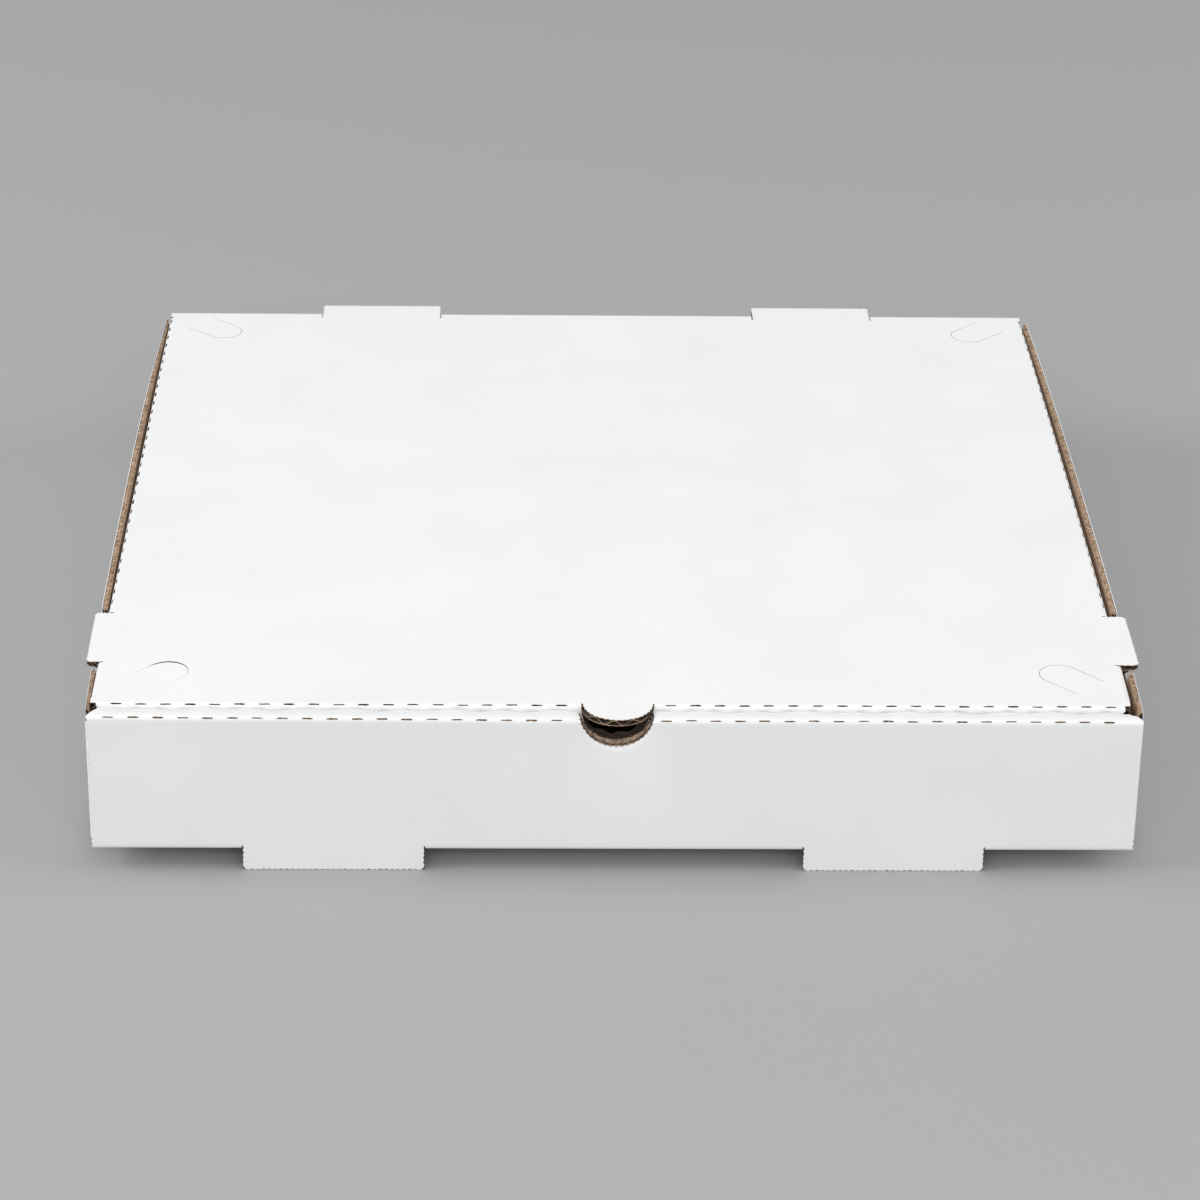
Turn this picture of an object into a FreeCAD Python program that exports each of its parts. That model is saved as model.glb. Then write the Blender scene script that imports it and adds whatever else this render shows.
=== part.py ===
import FreeCAD, Part
import math
import os

# Shallow square carton folded from one die-cut sheet of corrugated board: a tray with a
# roll-over front wall, and a lid that is hinged along the top of the back wall.
# Millimetres. X is to the right, Y to the back, Z up. The origin is the middle of the
# footprint, at the height of the surface that the box stands on.

# Sheet
board = 2.4                 # thickness of the board
fold_radius = 2.0           # outside of a fold
crease_radius = 0.4         # inside of a fold
sheet_gap = 0.3             # between layers of the sheet that lie against each other

# Tray
front_width = 356.0         # front wall, end to end
end_step = 0.6              # how far each side wall stands out past the front wall's end
box_depth = 356.0           # outer face of the front wall to outer face of the back wall
wall_height = 50.4          # underside of the bottom panel to the top of the walls
strip_depth = 9.0           # top of the double front wall, front to back
inner_wall_inset = 3.8      # how much shorter the inner front wall is at each end
back_wall_inset = 1.6       # how much shorter the back wall is at each end
corner_flap_length = 56.0   # flaps at the ends of the side walls
corner_flap_round = 8.0

# Feet, cut out of the bottom panel
foot_height = 7.8
foot_width = 61.9
foot_inset = 51.3           # front wall's end to the near side of a foot
foot_round = 2.0
lock_tab_play = 1.2         # each end of an inner wall tab in its foot hole

# Finger notch in the front wall, and the finger tab of the lid that lies over it
notch_radius = 12.8
notch_centre_rise = 2.2     # centre of the notch above the top of the wall
finger_tab_radius = 12.0
finger_tab_setback = 1.5    # centre of the tab behind the lid's front fold

# Lid
lid_rise = 1.5              # top of the lid above the top of the walls
lid_side_gap = 0.3          # lid to the inner face of each side wall
lid_front_gap = 0.4         # lid's front fold to the inner front wall
flap_depth = 30.0           # lid flaps, top of the lid to their lower edge
front_flap_lean = 1.6       # how far the front flap's lower edge is tucked in
front_flap_inset = 3.4      # each end of the front flap from the lid's side
flap_taper = 12.0           # how much shorter the front flap is at its lower edge
flap_round = 10.0
side_flap_front_gap = 1.5   # side flap to the back of the front flap
side_flap_back_gap = 0.9    # side flap to the rear corner flap

# Lugs left in the plane of the lid when its flaps fold down
ear_width = 37.6
ear_inset = 40.8            # outer face of the front wall to the near side of an ear
ear_reach = 6.5             # past the lid's side
ear_round = 2.5
ear_relief = 4.0            # slits that run into the lid beside an ear
slit_width = 0.4
back_lug_width = 48.8
back_lug_inset = 64.6       # front wall's end to the near side of a back lug
back_lug_reach = 8.0        # past the back wall
back_lug_round = 2.0

# Recess in each side wall under an ear
recess_play = 4.4           # each side of the ear
recess_depth = 8.0
recess_round = 2.5

# Curved slits near the lid's corners, each round a tongue that points to the middle
tongue_radius = 7.0
tongue_length = 13.5        # straight side of a tongue
tongue_side_inset = 23.3    # centre of the rounded tip, from the lid's side
tongue_front_inset = 24.0   # the same from the lid's front fold
tongue_back_inset = 20.5    # the same from the lid's back edge

# Dashed cuts along the folds
dash_pitch = 8.4
dash_length = 3.8
dash_width = 0.5
dash_cut = 1.2              # depth into the fold
dash_margin = 4.0           # first dash from the end of its fold

# Places that follow from the sizes above
finger_tab_reach = finger_tab_radius - finger_tab_setback - strip_depth - lid_front_gap
front = (max(finger_tab_reach, 0.0) - back_lug_reach - box_depth) / 2.0
back = front + box_depth
floor_under = foot_height
floor_top = floor_under + board
wall_top = floor_under + wall_height
front_half = front_width / 2.0
side_outer = front_half + end_step
side_inner = side_outer - board
strip_back = front + strip_depth
flap_bottom = floor_top + sheet_gap
corner_front = front + board + sheet_gap
corner_back = back - board - sheet_gap
corner_top = wall_top - board - sheet_gap
side_front = strip_back - board
side_back = corner_back - fold_radius

lid_top = wall_top + lid_rise
lid_under = lid_top - board
lid_half = side_inner - lid_side_gap
lid_front = strip_back + lid_front_gap
back_wall_top = lid_under - sheet_gap
flap_low = lid_top - flap_depth
side_flap_front = lid_front + board + front_flap_lean + side_flap_front_gap
side_flap_back = corner_back - board - side_flap_back_gap
ear_front = front + ear_inset
ear_back = ear_front + ear_width
over = 1.0                  # how far a cutting solid runs past what it cuts


def point(plane, u, v, w=0.0):
    """Place the outline coordinates (u, v) in the plane yz, xz or xy, at w along the third axis."""
    places = {"yz": (w, u, v), "xz": (u, w, v), "xy": (u, v, w)}
    return FreeCAD.Vector(*places[plane])


def block(x0, x1, y0, y1, z0, z1):
    return Part.makeBox(x1 - x0, y1 - y0, z1 - z0, FreeCAD.Vector(x0, y0, z0))


def outline(corners, plane, w):
    """Closed wire through corners (u, v, radius), with an arc at each corner that has a radius."""
    sides = []
    for i, (u, v, radius) in enumerate(corners):
        here = point(plane, u, v, w)
        if radius <= 0.0:
            sides.append((here, None, here))
            continue
        before = point(plane, *corners[i - 1][:2], w) - here
        after = point(plane, *corners[(i + 1) % len(corners)][:2], w) - here
        half_angle = before.getAngle(after) / 2.0
        before.normalize()
        after.normalize()
        bisector = before + after
        bisector.normalize()
        run = radius / math.tan(half_angle)
        middle = here + bisector * (radius / math.sin(half_angle) - radius)
        sides.append((here + before * run, middle, here + after * run))
    edges = []
    for i, (start, middle, end) in enumerate(sides):
        if middle is not None:
            edges.append(Part.Arc(start, middle, end).toShape())
        edges.append(Part.LineSegment(end, sides[(i + 1) % len(sides)][0]).toShape())
    return Part.Wire(edges)


def prism(corners, plane, w0, w1):
    """Solid with this outline, from w0 to w1 along the axis that isn't in the plane."""
    face = Part.Face(outline(corners, plane, w0))
    return face.extrude(point(plane, 0.0, 0.0, w1 - w0))


def rounded_block(plane, u0, u1, v0, v1, w0, w1, radius):
    corners = [(u0, v0, radius), (u1, v0, radius), (u1, v1, radius), (u0, v1, radius)]
    return prism(corners, plane, w0, w1)


def mirrored(shapes):
    """The shapes and their mirror images on the other side of the box."""
    origin = FreeCAD.Vector(0.0, 0.0, 0.0)
    across = FreeCAD.Vector(1.0, 0.0, 0.0)
    return shapes + [shape.mirror(origin, across) for shape in shapes]


def front_to_back_sheet():
    """Inner front wall, strip, outer front wall, bottom panel and back wall, as one folded run."""
    corners = [
        (front, floor_under, fold_radius),
        (front, wall_top, fold_radius),
        (strip_back, wall_top, fold_radius),
        (strip_back, flap_bottom, 0.0),
        (strip_back - board, flap_bottom, 0.0),
        (strip_back - board, wall_top - board, crease_radius),
        (front + board, wall_top - board, crease_radius),
        (front + board, floor_top, crease_radius),
        (back - board, floor_top, crease_radius),
        (back - board, back_wall_top, 0.0),
        (back, back_wall_top, 0.0),
        (back, floor_under, fold_radius),
    ]
    return prism(corners, "yz", -front_half, front_half)


def front_wall_end_trim():
    """Cuts the strip and the inner wall back at the right-hand end."""
    inner_end = front_half - inner_wall_inset
    corners = [
        (inner_end, strip_back + over, 0.0),
        (inner_end, front + board + inner_wall_inset, crease_radius),
        (front_half, front + board, crease_radius),
        (side_outer + over, front + board, 0.0),
        (side_outer + over, strip_back + over, 0.0),
    ]
    return prism(corners, "xy", floor_top + sheet_gap / 2.0, wall_top + over)


def back_wall_end_trim():
    end = front_half - back_wall_inset
    return block(end, side_outer + over, back - board - sheet_gap / 2.0, back + over,
                 floor_top, wall_top + over)


def side_edge_trim():
    """Cuts the bottom panel back where the fold of the side wall takes its place."""
    return block(side_inner - fold_radius, side_outer + over, side_front, side_back,
                 floor_under - over, floor_top + sheet_gap / 2.0)


def side_wall():
    """Right-hand side wall with its fold into the bottom panel."""
    root = side_inner - 3.0 * fold_radius
    corners = [
        (root, floor_under, 0.0),
        (side_outer, floor_under, fold_radius),
        (side_outer, wall_top, 0.0),
        (side_inner, wall_top, 0.0),
        (side_inner, floor_top, crease_radius),
        (root, floor_top, 0.0),
    ]
    return prism(corners, "xz", side_front, side_back)


def corner_column(face, inward):
    """Fold between the side wall and a corner flap; inward is 1 at the front and -1 at the back."""
    reach = inward * 2.0 * (fold_radius + board)
    corners = [
        (side_outer, face, fold_radius),
        (side_outer, face + reach, 0.0),
        (side_inner, face + reach, 0.0),
        (side_inner, face + inward * board, crease_radius),
        (side_inner - 2.0 * fold_radius, face + inward * board, 0.0),
        (side_inner - 2.0 * fold_radius, face, 0.0),
    ]
    return prism(corners, "xy", flap_bottom, corner_top)


def corner_flap(face, inward):
    """Flap that lies along the front or back wall."""
    root = side_inner - fold_radius
    tip = side_outer - corner_flap_length
    corners = [
        (root, flap_bottom, 0.0),
        (root, corner_top, 0.0),
        (tip, corner_top, corner_flap_round),
        (tip, flap_bottom, corner_flap_round),
    ]
    return prism(corners, "xz", face, face + inward * board)


def side_recess():
    return rounded_block("yz", ear_front - recess_play, ear_back + recess_play,
                         wall_top - recess_depth, wall_top + recess_depth,
                         side_inner - over, side_outer + over, recess_round)


def foot_span():
    """Near and far sides of the right-hand foot."""
    far = front_half - foot_inset
    return far - foot_width, far


def foot(face, inward):
    """Foot that carries on down from the front or back wall."""
    near, far = foot_span()
    corners = [
        (near, floor_under + fold_radius + board, 0.0),
        (near, 0.0, foot_round),
        (far, 0.0, foot_round),
        (far, floor_under + fold_radius + board, 0.0),
    ]
    return prism(corners, "xz", face, face + inward * board)


def foot_hole(face, inward):
    """What the foot left open in the bottom panel."""
    near, far = foot_span()
    start = face + inward * board
    end = face + inward * (strip_depth + sheet_gap)
    return block(near, far, min(start, end), max(start, end), floor_under - over, floor_top)


def lock_tab():
    """Tab of the inner front wall that drops into the rear of a front foot hole."""
    near, far = foot_span()
    return block(near + lock_tab_play, far - lock_tab_play, strip_back - board, strip_back,
                 floor_under, flap_bottom + board)


def back_lug_span():
    """Near and far sides of the right-hand back lug."""
    far = front_half - back_lug_inset
    return far - back_lug_width, far


def back_lug_hole():
    """Opening in the back wall that a back lug swings through as the lid opens."""
    near, far = back_lug_span()
    swing = math.hypot(back_lug_reach, board)
    return block(near - sheet_gap, far + sheet_gap, back - board - over, back + over,
                 lid_top - swing - sheet_gap, wall_top + over)


def finger_notch():
    centre = FreeCAD.Vector(0.0, front - over, wall_top + notch_centre_rise)
    along = FreeCAD.Vector(0.0, 1.0, 0.0)
    return Part.makeCylinder(notch_radius, strip_depth + 2.0 * over, centre, along)


def dash_places(length):
    """Middles of the dashes along a fold of this length, centred on it."""
    count = int((length - 2.0 * dash_margin - dash_length) / dash_pitch) + 1
    return [(i - (count - 1) / 2.0) * dash_pitch for i in range(count)]


def fold_dash(plane, u, v, w, outward):
    """Slot across a fold whose outer corner is (u, v); outward points away along u."""
    half = dash_length / 2.0
    reach = dash_cut + fold_radius * (1.0 - math.sqrt(0.5)) * math.sqrt(2.0)
    slot = [(-over, -dash_width / 2.0), (reach, -dash_width / 2.0),
            (reach, dash_width / 2.0), (-over, dash_width / 2.0)]
    diagonal = math.sqrt(0.5)
    corners = []
    for inwards, across in slot:
        corners.append((u + outward * diagonal * (across - inwards),
                        v - diagonal * (across + inwards), 0.0))
    return prism(corners, plane, w - half, w + half)


def clear_of_tab(x):
    return abs(x) > notch_radius + dash_length / 2.0 + board / 2.0


def front_fold_dashes():
    return [fold_dash("yz", front, wall_top, x, -1.0)
            for x in dash_places(front_width) if clear_of_tab(x)]


def tray():
    sheet = front_to_back_sheet()
    sheet = sheet.cut(mirrored([front_wall_end_trim(), back_wall_end_trim(), side_edge_trim()]))
    walls = [side_wall()]
    holes = [back_lug_hole(), side_recess()]
    into_holes = [lock_tab()]
    for face, inward in ((corner_front, 1.0), (corner_back, -1.0)):
        walls += [corner_column(face, inward), corner_flap(face, inward)]
    for face, inward in ((front, 1.0), (back, -1.0)):
        holes.append(foot_hole(face, inward))
        into_holes.append(foot(face, inward))
    shape = sheet.fuse(mirrored(walls))
    shape = shape.cut(mirrored(holes) + [finger_notch()] + front_fold_dashes())
    return shape.fuse(mirrored(into_holes)).removeSplitter()


def lid_sheet():
    """Lid panel with its front flap."""
    corners = [
        (lid_front, lid_top, fold_radius),
        (back, lid_top, crease_radius),
        (back, lid_under, 0.0),
        (lid_front + board, lid_under, crease_radius),
        (lid_front + board + front_flap_lean, flap_low, 0.0),
        (lid_front + front_flap_lean, flap_low, 0.0),
    ]
    return prism(corners, "yz", -lid_half, lid_half)


def front_flap_end_trim():
    """Shapes the right-hand end of the front flap."""
    end = lid_half - front_flap_inset
    corners = [
        (end, lid_under, 0.0),
        (end - flap_taper, flap_low, flap_round),
        (0.0, flap_low, 0.0),
        (0.0, flap_low - over, 0.0),
        (lid_half + over, flap_low - over, 0.0),
        (lid_half + over, lid_under, 0.0),
    ]
    return prism(corners, "xz", lid_front - over, lid_front + board + front_flap_lean + over)


def lid_edge_trim():
    """Cuts the lid panel back where the fold of the side flap takes its place."""
    return block(lid_half - board - fold_radius, lid_half + over, side_flap_front, side_flap_back,
                 lid_under - over, lid_top + over)


def lid_side_flap():
    """Right-hand side flap with its fold into the lid panel."""
    root = lid_half - 2.0 * (board + fold_radius)
    corners = [
        (root, lid_top, 0.0),
        (lid_half, lid_top, fold_radius),
        (lid_half, flap_low, 0.0),
        (lid_half - board, flap_low, 0.0),
        (lid_half - board, lid_under, crease_radius),
        (root, lid_under, 0.0),
    ]
    folded = prism(corners, "xz", side_flap_front, side_flap_back)
    face = [
        (side_flap_front, lid_top + over, 0.0),
        (side_flap_back, lid_top + over, 0.0),
        (side_flap_back, flap_low, flap_round),
        (side_flap_front, flap_low, flap_round),
    ]
    return folded.common(prism(face, "yz", root, lid_half + over))


def ear():
    """Right-hand ear, which stays in the plane of the lid when the side flap folds down."""
    root = lid_half - board - 2.0 * fold_radius
    tip = lid_half + ear_reach
    corners = [
        (root, ear_front, 0.0),
        (tip, ear_front, ear_round),
        (tip, ear_back, ear_round),
        (root, ear_back, 0.0),
    ]
    return prism(corners, "xy", lid_under, lid_top)


def ear_hole():
    """What the ear left open in the side flap."""
    low = lid_under - ear_reach
    return rounded_block("yz", ear_front, ear_back, low, lid_under + ear_reach,
                         lid_half - board - over, lid_half + over, ear_round)


def ear_slits():
    start = lid_half - ear_relief
    cuts = []
    for y in (ear_front, ear_back):
        cuts.append(block(start, lid_half + over, y - slit_width / 2.0, y + slit_width / 2.0,
                          lid_under - over, lid_top + over))
    return cuts


def back_lug():
    near, far = back_lug_span()
    tip = back + back_lug_reach
    corners = [
        (near, back - board, 0.0),
        (far, back - board, 0.0),
        (far, tip, back_lug_round),
        (near, tip, back_lug_round),
    ]
    return prism(corners, "xy", lid_under, lid_top)


def finger_tab():
    centre = FreeCAD.Vector(0.0, lid_front + finger_tab_setback, lid_under)
    return Part.makeCylinder(finger_tab_radius, board, centre)


def finger_tab_hole():
    """What the finger tab left open in the front flap."""
    centre = FreeCAD.Vector(0.0, lid_front - over, lid_top + finger_tab_setback)
    along = FreeCAD.Vector(0.0, 1.0, 0.0)
    depth = board + front_flap_lean + 2.0 * over
    return Part.makeCylinder(finger_tab_radius, depth, centre, along)


def tongue_slit(x, y, to_corner):
    """U-shaped slit whose rounded tip is centred at (x, y) and whose sides run to the corner."""
    inner = tongue_radius - slit_width / 2.0
    outer = tongue_radius + slit_width / 2.0
    corners = [
        (tongue_length, -outer, 0.0),
        (tongue_length, -inner, 0.0),
        (-inner, -inner, inner - crease_radius / 4.0),
        (-inner, inner, inner - crease_radius / 4.0),
        (tongue_length, inner, 0.0),
        (tongue_length, outer, 0.0),
        (-outer, outer, outer - crease_radius / 4.0),
        (-outer, -outer, outer - crease_radius / 4.0),
    ]
    cut = prism(corners, "xy", lid_under - over, lid_top + over)
    turn = math.degrees(math.atan2(to_corner[1], to_corner[0]))
    cut.rotate(FreeCAD.Vector(0.0, 0.0, 0.0), FreeCAD.Vector(0.0, 0.0, 1.0), turn)
    cut.translate(FreeCAD.Vector(x, y, 0.0))
    return cut


def tongue_slits():
    x = lid_half - tongue_side_inset
    front_y = lid_front + tongue_front_inset
    back_y = back - tongue_back_inset
    return [
        tongue_slit(x, front_y, (tongue_side_inset, -tongue_front_inset)),
        tongue_slit(x, back_y, (tongue_side_inset, tongue_back_inset)),
    ]


def lid_front_dashes():
    return [fold_dash("yz", lid_front, lid_top, x, -1.0)
            for x in dash_places(2.0 * lid_half) if clear_of_tab(x)]


def lid_side_dashes():
    """Dashes along the right-hand fold of the lid, except at the ear."""
    length = side_flap_back - side_flap_front
    middle = (side_flap_back + side_flap_front) / 2.0
    dashes = []
    for step in dash_places(length):
        y = middle + step
        if ear_front - dash_length < y < ear_back + dash_length:
            continue
        dashes.append(fold_dash("xz", lid_half, lid_top, y, 1.0))
    return dashes


def lid():
    sheet = lid_sheet().cut(mirrored([front_flap_end_trim(), lid_edge_trim()]))
    sheet = sheet.fuse(mirrored([lid_side_flap()]))
    holes = mirrored([ear_hole()] + lid_side_dashes()) + [finger_tab_hole()] + lid_front_dashes()
    sheet = sheet.cut(holes)
    sheet = sheet.fuse(mirrored([ear(), back_lug()]) + [finger_tab()])
    sheet = sheet.cut(mirrored(ear_slits() + tongue_slits()))
    return sheet.removeSplitter()


os.makedirs("parts", exist_ok=True)
for name, shape in (("tray", tray()), ("lid", lid())):
    shape.exportStep("parts/" + name + ".step")
    print(name, "solids", len(shape.Solids), "valid", shape.isValid(), "faces", len(shape.Faces))
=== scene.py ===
import math

import bmesh
import bpy
import numpy as np
from mathutils import Matrix, Vector
from mathutils.geometry import delaunay_2d_cdt


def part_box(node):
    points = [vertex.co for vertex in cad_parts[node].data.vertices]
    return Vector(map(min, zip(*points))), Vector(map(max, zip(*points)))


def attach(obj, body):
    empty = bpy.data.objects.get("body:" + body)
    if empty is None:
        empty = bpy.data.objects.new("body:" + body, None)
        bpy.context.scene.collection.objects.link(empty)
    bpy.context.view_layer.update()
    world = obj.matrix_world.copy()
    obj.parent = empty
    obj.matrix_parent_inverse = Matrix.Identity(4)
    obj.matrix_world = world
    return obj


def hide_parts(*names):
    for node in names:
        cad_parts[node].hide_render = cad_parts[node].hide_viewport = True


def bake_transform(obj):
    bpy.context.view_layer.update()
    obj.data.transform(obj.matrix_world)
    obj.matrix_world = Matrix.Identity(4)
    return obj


# Folded corrugated carton. The sheet is made as it is on the real box: each flat blank is cut
# out in two dimensions, then carried round its folds as a white liner, a brown liner and the
# fluting between them. Lengths are in millimetres until a mesh is made.

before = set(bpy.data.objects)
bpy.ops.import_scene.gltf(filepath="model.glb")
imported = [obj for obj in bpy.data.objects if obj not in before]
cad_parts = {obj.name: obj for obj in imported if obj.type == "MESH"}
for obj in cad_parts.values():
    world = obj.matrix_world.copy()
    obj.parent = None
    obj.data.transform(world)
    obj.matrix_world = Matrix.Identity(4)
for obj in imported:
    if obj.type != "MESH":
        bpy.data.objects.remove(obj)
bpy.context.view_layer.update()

MM = 0.001
rng = np.random.default_rng(14)

# Sheet
board = 2.4
liner = 0.28
flute_wave = 6.3
flute_sheet = 0.2
fold = 1.6                  # radius of the outside of a fold
fold_arc = fold * math.pi / 2.0
fold_crush = 0.64           # share of the board's thickness that is left at a fold
crush_reach = 3.0
sheet_gap = 0.3
tooth_pitch = 2.0           # wavy cut edges
tooth_depth = 0.5
wall_inset = 0.55           # fluting behind the cut ends of the front walls
panel_inset = 0.5           # the same for the bottom panel and the lid's front flap
end_inset = 0.1             # the same elsewhere

# Places that come from the frame
tray_low, tray_high = (np.array(corner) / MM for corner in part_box("tray"))
lid_low, lid_high = (np.array(corner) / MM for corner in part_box("lid"))
front, back = tray_low[1], tray_high[1]
side_outer = tray_high[0]
wall_top, lid_top = tray_high[2], lid_high[2]
flap_low = lid_low[2]
ear_tip, lug_tip, tab_tip = lid_high[0], lid_high[1], lid_low[1]

# Tray
end_step = 0.6              # how far a side wall stands out past the front wall's end
inner_wall_inset = 3.8
back_wall_inset = 1.6
floor_inset = 0.6           # bottom panel's edge to the fold of a side wall
strip_depth = 9.0
strip_slope = 8.0           # length over which the strip's ends run in to the inner wall's
strip_slope_round = 3.0
strip_corner = 0.8
strip_corner_round = 2.0
corner_flap = 56.0
corner_flap_round = 8.0
foot_height = 7.8
foot_inset = 51.3           # front wall's end to the near side of a foot
foot_width = 61.9
foot_round = 2.0
foot_slot = 0.3
lock_play = 1.2
notch_radius = 12.8
notch_rise = 2.2
inner_notch_drop = 1.3      # how much lower the inner wall's half ends
notch_shift = 0.3           # how far it sits to the right
notch_tear = 0.9            # how far the brown liner is torn back at the inner wall
notch_dent = 0.6            # how far its cut edge is pressed in
recess_depth = 8.0
recess_play = 4.4
recess_round = 2.5
side_bow = 1.9              # how far the top of a side wall bulges out
top_pinch = 0.12            # share of its thickness that a side wall loses at its top
left_pinch = 0.45           # the same, more, at the left wall's two corners
right_pinch = 0.25          # and at the right wall's front corner
corner_front_reach = 50.0   # how far along a wall its corners' pinch fades
corner_back_reach = 60.0
pinch_low, pinch_run = 6.0, 8.0  # where it begins below the top's fold, and over what height
side_lean = 1.0             # how far the left wall's back top corner leans in
strip_sag = 1.6             # how far the strip's rear edge dips
strip_even = 0.65           # share of the dip that is even; two waves take the rest
strip_wave, strip_wave_share = 2.7, 0.2
strip_swell, strip_swell_share = 6.3, 0.15
left_rise = 0.7             # front wall's left end above its right end

# Lid
lid_side_gap = 0.3
lid_front_gap = 0.4
tab_radius = 12.0
front_flap_lean = 1.6       # how far the front flap's lower edge is tucked in
front_flap_inset = 2.4
side_flap_front_gap = 3.1   # side flap to the back of the front flap
side_flap_back_gap = 0.9    # side flap to the rear corner flap
tab_hole_play = 2.3
lid_swell = 0.8             # how far the lid's sides bulge out
# Shift of the lid's front at the left ear, left side, middle, right side and right ear
lid_sway = (0.0, -2.0, 0.9, -0.7, 0.8)
sway_reach = 100.0
sway_depth = 6.0            # how far down the flaps it reaches
lid_droop = 0.9             # how much lower the lid lies at its front
ear_press = 0.75            # thickness that is left at the cut edges of the ears
flap_taper = 12.0
flap_round = 10.0
ear_inset = 40.3            # outer face of the front wall to the near side of an ear
ear_width = 37.6
ear_play = 1.2              # room that the lid's swelling takes
ear_round = 2.5
ear_relief = 2.2            # how far the slits beside an ear run into the lid
lug_inset = 64.6            # front wall's end to the near side of a lug
lug_width = 48.8
lug_round = 2.0
slot = 0.35
tongue_gap = 0.16
tongue_radius = 7.0
tongue_length = 13.5
tongue_shift = 1.0          # how far the front pair sits to the right
tongue_side, tongue_front, tongue_back = 23.3, 24.0, 20.5

# Dashed cuts along the folds
dash_pitch = 8.36
dash_count = 19
dash_length = 3.8
dash_open = 0.55
dash_stray = 0.12           # how far a dash is off its place
push_rise = 0.16            # how far the liner stands out beside a dash
push_along, push_across = 2.4, 1.5

# Hinge: the strip of the sheet that bends as the lid opens
hinge_run = 3.7

# Places and lengths that follow
front_half = side_outer - end_step
inner_end = front_half - inner_wall_inset
back_end = front_half - back_wall_inset
floor_half = side_outer - fold - floor_inset
foot_far = front_half - foot_inset
foot_near = foot_far - foot_width
lid_half = side_outer - board - lid_side_gap
lid_front = front + strip_depth + lid_front_gap
tab_centre = tab_tip + tab_radius
flap_lean = math.atan2(front_flap_lean, lid_top - flap_low)
front_flap_half = lid_half - front_flap_inset
ear_front = front + ear_inset
ear_back = ear_front + ear_width
lug_far = front_half - lug_inset
lug_near = lug_far - lug_width
floor_under = foot_height
flap_bottom = floor_under + board + sheet_gap
corner_top = wall_top - board - sheet_gap
corner_front = front + board + sheet_gap
corner_back = back - board - sheet_gap
side_front = front + strip_depth - board
side_back = corner_back - fold
wall_flat = wall_top - floor_under - 2.0 * fold
strip_flat = strip_depth - 2.0 * fold
fold_two = fold_arc + wall_flat
fold_three = fold_two + fold_arc + strip_flat
front_run = fold_three + fold_arc + wall_top - fold - flap_bottom
floor_run = back - front - 2.0 * fold
hinge_low = lid_top - fold - hinge_run
hinge_front = back - fold - hinge_run
back_run = fold_arc + hinge_low - floor_under - fold
ear_out = ear_tip - ear_play
notch_bottom = wall_top + notch_rise - notch_radius
notch_low = fold_two - (wall_top - fold - notch_bottom)
notch_high = fold_three + fold_arc + fold_two - notch_low + inner_notch_drop
notch_clear = notch_radius + 1.2
flap_front = lid_front + board + side_flap_front_gap
flap_back = corner_back - board - side_flap_back_gap
flap_run = fold_arc + lid_top - flap_low - fold
side_top = wall_top - floor_under - fold + fold_arc
lug_swing = math.hypot(lug_tip - back, board)
lug_hole_low = fold_arc + lid_top - lug_swing - sheet_gap - floor_under - fold


# Outlines in the flat blank

def tooth(i, side=1):
    """Step of the wavy cut edge at its i-th point; it only takes board away."""
    return -side * tooth_depth * rng.uniform(0.5, 1.0) if i % 2 else 0.0


def line(p, q, toothed=False, side=1):
    """Points from p up to but not including q, wavy where the edge is a cut edge."""
    p, q = np.array(p, float), np.array(q, float)
    if not toothed:
        return [tuple(p)]
    length = np.linalg.norm(q - p)
    count = max(int(round(length / tooth_pitch)) * 2, 2)
    across = np.array([q[1] - p[1], p[0] - q[0]]) / length
    points = [tuple(p)]
    for i in range(1, count):
        points.append(tuple(p + (q - p) * i / count + across * tooth(i, side)))
    return points


def arc(centre, radius, start, end, toothed=False):
    """Points along an arc, in degrees, up to but not including its end."""
    length = abs(math.radians(end - start)) * radius
    count = max(int(round(length / tooth_pitch)) * 2, 2) if toothed else max(int(length / 0.6), 5)
    points = []
    for i in range(count):
        angle = math.radians(start + (end - start) * i / count)
        reach = radius + (tooth(i) if toothed else 0.0)
        points.append((centre[0] + reach * math.cos(angle), centre[1] + reach * math.sin(angle)))
    return points


def rounded(corners, closed=True, side=1):
    """Outline through corners (u, v, radius, toothed), each with the edge that follows it."""
    count = len(corners)
    sides = []
    for i, (u, v, radius, _) in enumerate(corners):
        here = np.array([u, v], float)
        if radius <= 0.0:
            sides.append(([], here, here))
            continue
        before = np.array(corners[i - 1][:2]) - here
        after = np.array(corners[(i + 1) % count][:2]) - here
        before /= np.linalg.norm(before)
        after /= np.linalg.norm(after)
        half = math.acos(float(np.clip(before @ after, -1, 1))) / 2.0
        run = radius / math.tan(half)
        centre = here + (before + after) / np.linalg.norm(before + after) * radius / math.sin(half)
        start, end = here + before * run, here + after * run
        a0 = math.atan2(*(start - centre)[::-1])
        a1 = math.atan2(*(end - centre)[::-1])
        a1 = a0 + (a1 - a0 + math.pi) % (2.0 * math.pi) - math.pi
        steps = max(int(abs(a1 - a0) * radius / 0.5), 4)
        bend_points = []
        for k in range(steps):
            angle = a0 + (a1 - a0) * k / steps
            bend_points.append(tuple(centre + radius * np.array([math.cos(angle), math.sin(angle)])))
        sides.append((bend_points, start, end))
    points = []
    last = count if closed else count - 1
    for i in range(last):
        bend_points, _, end = sides[i]
        points += bend_points
        points += line(end, sides[(i + 1) % count][1], corners[i][3], side)
    if not closed:
        points.append(tuple(sides[-1][2]))
    return points


def mirror_path(points):
    """Closes a path on the right-hand side with its mirror image on the left."""
    return points + [(-u, v) for u, v in reversed(points) if abs(u) > 1e-6]


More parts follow.
